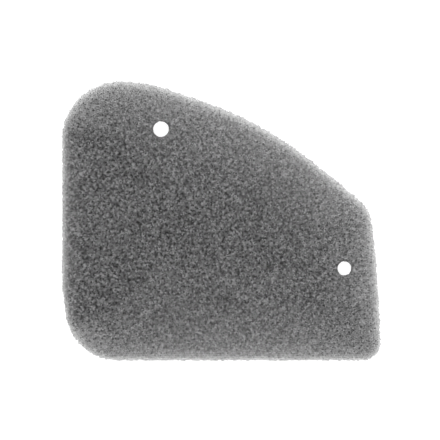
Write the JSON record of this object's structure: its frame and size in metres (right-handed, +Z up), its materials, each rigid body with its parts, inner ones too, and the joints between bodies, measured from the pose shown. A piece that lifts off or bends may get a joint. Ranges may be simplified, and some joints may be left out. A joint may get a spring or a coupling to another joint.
{
  "type": "air filter element",
  "caption": "Flat open-cell foam air filter element for a small engine, die-cut with a sloping side and round locating holes.",
  "frame": {"origin": "under the centre of the outline's bounding box, on the lower face, which the pad rests on", "axes": "+X along the straight front edge, towards the side with the right-hand hole; +Y towards the back edge, across the pad; +Z up through the thickness"},
  "size_m": [0.16, 0.14, 0.015],
  "materials": {
    "filter_foam": "matte dark grey open-cell foam"
  },
  "bodies": {
    "root": {"foam_element": "filter_foam"}
  },
  "joints": []
}
